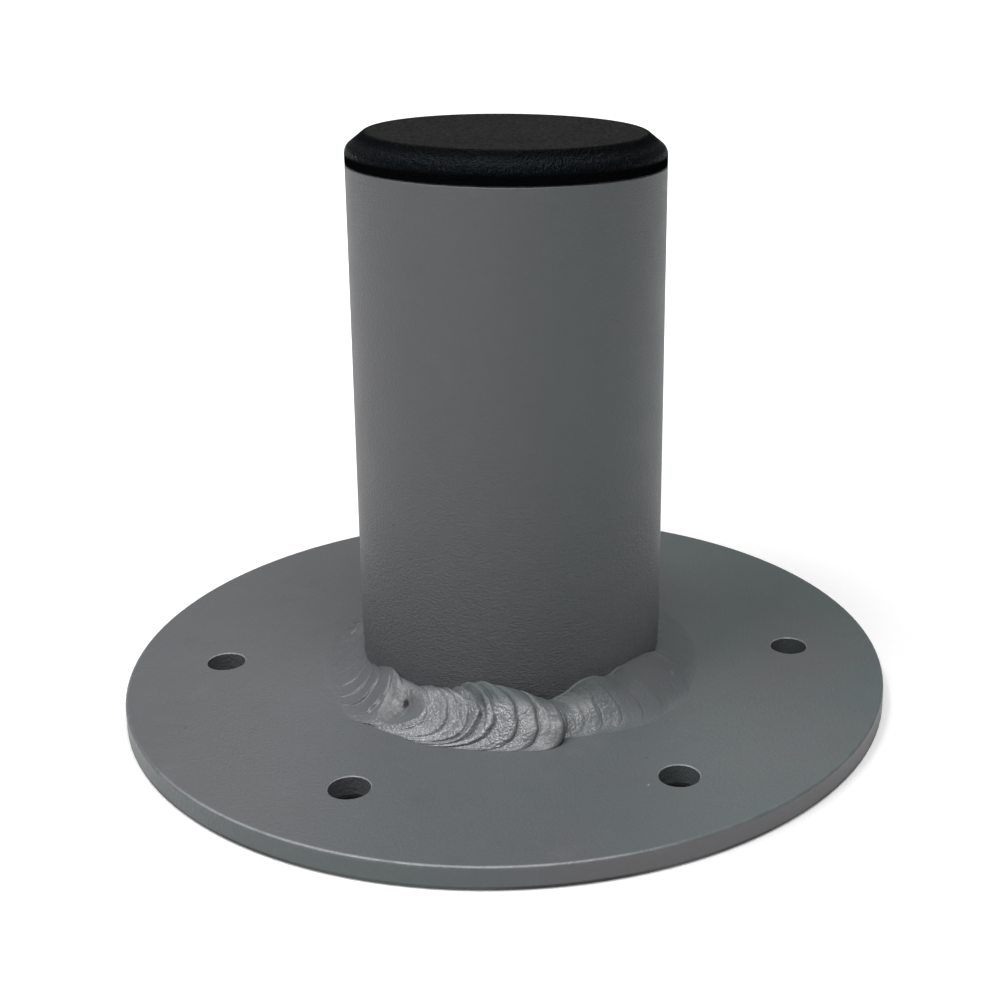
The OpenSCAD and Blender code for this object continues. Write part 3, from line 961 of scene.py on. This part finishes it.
softBoxes = {
    "overhead": {"place": (0.10, -0.28, 0.85), "size": 0.42, "power": 3.7},
    "upperLeft": {"place": (-0.5, -0.1, 0.85), "size": 0.5, "power": 3.3},
    "key": {"place": (-0.30, -0.28, 0.82), "size": 0.2, "power": 1.7},
    "frontLeft": {"place": (-0.65, -0.85, 0.35), "size": 0.3, "power": 0.35},
    "behind": {"place": (0.0, 0.6, 0.75), "size": 0.5, "power": 1.1},
}

view = {
    "focal": 1542.916,   # in pixels of the picture
    "pictureWidth": 1000.0,
    "sensor": 36.0,
    "place": (-2.374, -291.488, 148.979),
    "right": (0.99510089, -0.09734157, 0.01728679),
    "down": (-0.01211817, -0.29362845, -0.95584281),
    "forward": (0.09811913, 0.95095055, -0.29336954),
    "shift": (-0.15, -0.10),
    "clip": (0.01, 50.0),
}


def makeFloor():
    half = studio["floorHalf"]
    floorMesh = bpy.data.meshes.new("floor")
    corners = [(-half, -half, 0), (half, -half, 0), (half, half, 0), (-half, half, 0)]
    floorMesh.from_pydata(corners, [], [(0, 1, 2, 3)])
    floor = bpy.data.objects.new("floor", floorMesh)
    bpy.context.scene.collection.objects.link(floor)
    made, bench = newMaterial("paleFloor")
    seen = bench.node("ShaderNodeLightPath", out=0)
    mirrored = bench.node("ShaderNodeLightPath", out=3)
    x, y = bench.split(bench.node("ShaderNodeTexCoord", out=3))[:2]
    away = (x*x + y*y)**0.5
    # painted shadow: the floor dark under the plate
    under = away.ease(studio["underFrom"], studio["underTo"])
    tone = bench.blend(under, plain(studio["floorColour"]), plain(studio["underTone"]))
    diffuse = bench.node("ShaderNodeBsdfDiffuse", {}, {"Color": tone})
    white = away.ease(studio["whiteFrom"], studio["whiteTo"])
    looks = (seen + mirrored*studio["mirrorShare"]).least(1.0)
    share = looks*(white + (1.0 - under)*studio["floorGlow"])
    glow = bench.node("ShaderNodeEmission", {}, {
        "Color": bench.blend(share.least(1.0), plain(0.0), plain(1.0)), "Strength": 1.0})
    both = bench.node("ShaderNodeAddShader", {}, {0: diffuse, 1: glow})
    bench.node("ShaderNodeOutputMaterial", {}, {"Surface": both})
    floorMesh.materials.append(made)


def makeWorld():
    world = bpy.data.worlds.new("studio")
    bpy.context.scene.world = world
    world.use_nodes = True
    world.node_tree.nodes.clear()
    bench = Bench(world.node_tree)
    seen = bench.node("ShaderNodeLightPath", out=0)
    soft = bench.node("ShaderNodeBackground", {}, {
        "Color": tint(studio["worldColour"]), "Strength": studio["world"]})
    white = bench.node("ShaderNodeBackground", {}, {"Color": plain(1.0), "Strength": 1.0})
    both = bench.mixShaders(seen, soft, white)
    bench.node("ShaderNodeOutputWorld", {}, {"Surface": both})


def makeLight(name, box):
    lamp = bpy.data.lights.new(name, "AREA")
    lamp.shape = "DISK"
    lamp.size = box["size"]
    lamp.energy = box["power"]
    lampObject = bpy.data.objects.new(name, lamp)
    bpy.context.scene.collection.objects.link(lampObject)
    lampObject.location = box["place"]
    facing = Vector(studio["aim"]) - Vector(box["place"])
    lampObject.rotation_euler = facing.to_track_quat("-Z", "Y").to_euler()


def makeCamera():
    lens = bpy.data.cameras.new("camera")
    lens.sensor_width = view["sensor"]
    lens.lens = view["focal"]/view["pictureWidth"]*view["sensor"]
    lens.shift_x, lens.shift_y = view["shift"]
    lens.clip_start, lens.clip_end = view["clip"]
    camera = bpy.data.objects.new("camera", lens)
    bpy.context.scene.collection.objects.link(camera)
    up = [-c for c in view["down"]]
    back = [-c for c in view["forward"]]
    turn = Matrix([view["right"], up, back]).transposed()
    camera.matrix_world = Matrix.Translation(Vector(view["place"])*mm) @ turn.to_4x4()
    bpy.context.scene.camera = camera


makeFloor()
makeWorld()
for boxName, box in softBoxes.items():
    makeLight(boxName, box)
makeCamera()
bpy.context.scene.view_settings.view_transform = "Standard"
print("studio made")
